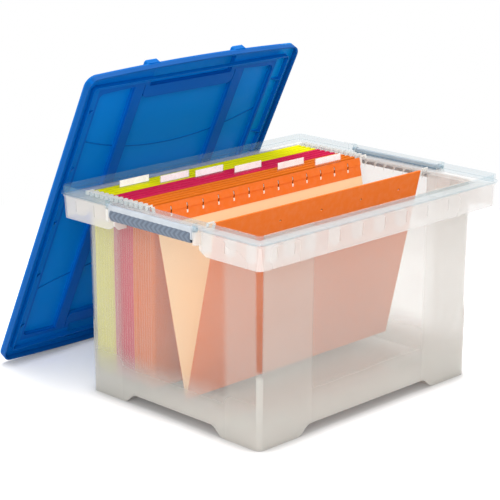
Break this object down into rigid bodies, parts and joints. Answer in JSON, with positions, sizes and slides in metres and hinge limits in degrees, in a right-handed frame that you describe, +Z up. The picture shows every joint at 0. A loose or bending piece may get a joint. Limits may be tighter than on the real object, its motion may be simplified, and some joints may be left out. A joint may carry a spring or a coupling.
{
  "type": "portable file box",
  "caption": "Clear file tub with flip-up side handles, a loose blue lid leaning on its back rim, and coloured hanging folders on its inner rails.",
  "frame": {"origin": "bottom centre of the whole set's bounding box, on the floor, with the lid standing against the back of the tub", "axes": "+X along the folders and the tub's long side, +Y from the tub's front to its back and the leaning lid, +Z up"},
  "size_m": [0.466, 0.5098, 0.4311],
  "materials": {
    "tub": "milky clear moulded plastic",
    "lid": "translucent blue moulded plastic",
    "handle_bar": "smooth grey plastic",
    "grip": "soft matte slate-grey sleeve",
    "paper_yellow": "bright yellow card",
    "paper_red": "pinkish red card",
    "paper_orange": "orange card",
    "paper_open": "bright orange card",
    "rod": "white-coated flat steel",
    "tab": "clear plastic",
    "label": "white card"
  },
  "bodies": {
    "tub": {"tub": "tub"},
    "lid": {"lid": "lid"},
    "handle_left": {"handle_bar_left": "handle_bar", "handle_grip_left": "grip"},
    "handle_right": {"handle_bar_right": "handle_bar", "handle_grip_right": "grip"},
    "folder_01": {"folder_01_yellow": "paper_yellow", "rods_01": "rod"},
    "folder_02": {"folder_02_yellow": "paper_yellow", "rods_02": "rod", "tab_02": "tab", "label_02": "label"},
    "folder_03": {"folder_03_yellow": "paper_yellow", "rods_03": "rod"},
    "folder_04": {"folder_04_yellow": "paper_yellow", "rods_04": "rod", "tab_04": "tab", "label_04": "label"},
    "folder_05": {"folder_05_red": "paper_red", "rods_05": "rod", "tab_05": "tab", "label_05": "label"},
    "folder_06": {"folder_06_red": "paper_red", "rods_06": "rod"},
    "folder_07": {"folder_07_red": "paper_red", "rods_07": "rod", "tab_07": "tab", "label_07": "label"},
    "folder_08": {"folder_08_red": "paper_red", "rods_08": "rod"},
    "folder_09": {"folder_09_orange": "paper_orange", "rods_09": "rod"},
    "folder_10": {"folder_10_orange": "paper_orange", "rods_10": "rod", "tab_10": "tab", "label_10": "label"},
    "folder_11": {"folder_11_orange": "paper_orange", "rods_11": "rod"},
    "folder_12": {"folder_12_orange": "paper_orange", "rods_12": "rod", "tab_12": "tab", "label_12": "label"},
    "open_rear": {"open_folder_rear": "paper_open", "open_rod_rear": "rod"},
    "open_front": {"open_folder_front": "paper_open", "open_rod_front": "rod"}
  },
  "joints": [
    {"name": "handle_left_flip", "type": "hinge", "parent": "tub", "child": "handle_left", "pos_m": [-0.2275, -0.07393, 0.268], "axis": [0, 1, 0], "range_deg": [0, 180]},
    {"name": "handle_right_flip", "type": "hinge", "parent": "tub", "child": "handle_right", "pos_m": [0.2275, -0.07393, 0.268], "axis": [0, -1, 0], "range_deg": [0, 180]},
    {"name": "lid_lift", "type": "slide", "parent": "tub", "child": "lid", "axis": [0, 0, 1], "range_m": [0, 0.3]},
    {"name": "folder_01_lift", "type": "slide", "parent": "tub", "child": "folder_01", "axis": [0, 0, 1], "range_m": [0, 0.055]},
    {"name": "folder_02_lift", "type": "slide", "parent": "tub", "child": "folder_02", "axis": [0, 0, 1], "range_m": [0, 0.075]},
    {"name": "folder_03_lift", "type": "slide", "parent": "tub", "child": "folder_03", "axis": [0, 0, 1], "range_m": [0, 0.092]},
    {"name": "folder_04_lift", "type": "slide", "parent": "tub", "child": "folder_04", "axis": [0, 0, 1], "range_m": [0, 0.11]},
    {"name": "folder_05_lift", "type": "slide", "parent": "tub", "child": "folder_05", "axis": [0, 0, 1], "range_m": [0, 0.13]},
    {"name": "folder_06_lift", "type": "slide", "parent": "tub", "child": "folder_06", "axis": [0, 0, 1], "range_m": [0, 0.28]},
    {"name": "folder_07_lift", "type": "slide", "parent": "tub", "child": "folder_07", "axis": [0, 0, 1], "range_m": [0, 0.28]},
    {"name": "folder_08_lift", "type": "slide", "parent": "tub", "child": "folder_08", "axis": [0, 0, 1], "range_m": [0, 0.28]},
    {"name": "folder_09_lift", "type": "slide", "parent": "tub", "child": "folder_09", "axis": [0, 0, 1], "range_m": [0, 0.28]},
    {"name": "folder_10_lift", "type": "slide", "parent": "tub", "child": "folder_10", "axis": [0, 0, 1], "range_m": [0, 0.28]},
    {"name": "folder_11_lift", "type": "slide", "parent": "tub", "child": "folder_11", "axis": [0, 0, 1], "range_m": [0, 0.28]},
    {"name": "folder_12_lift", "type": "slide", "parent": "tub", "child": "folder_12", "axis": [0, 0, 1], "range_m": [0, 0.28]},
    {"name": "open_folder_lift", "type": "slide", "parent": "tub", "child": "open_rear", "axis": [0, 0, 1], "range_m": [0, 0.28]},
    {"name": "open_folder_fold", "type": "hinge", "parent": "open_rear", "child": "open_front", "pos_m": [0, -0.09238, 0.02925], "axis": [-1, 0, 0], "range_deg": [0, 24]}
  ]
}
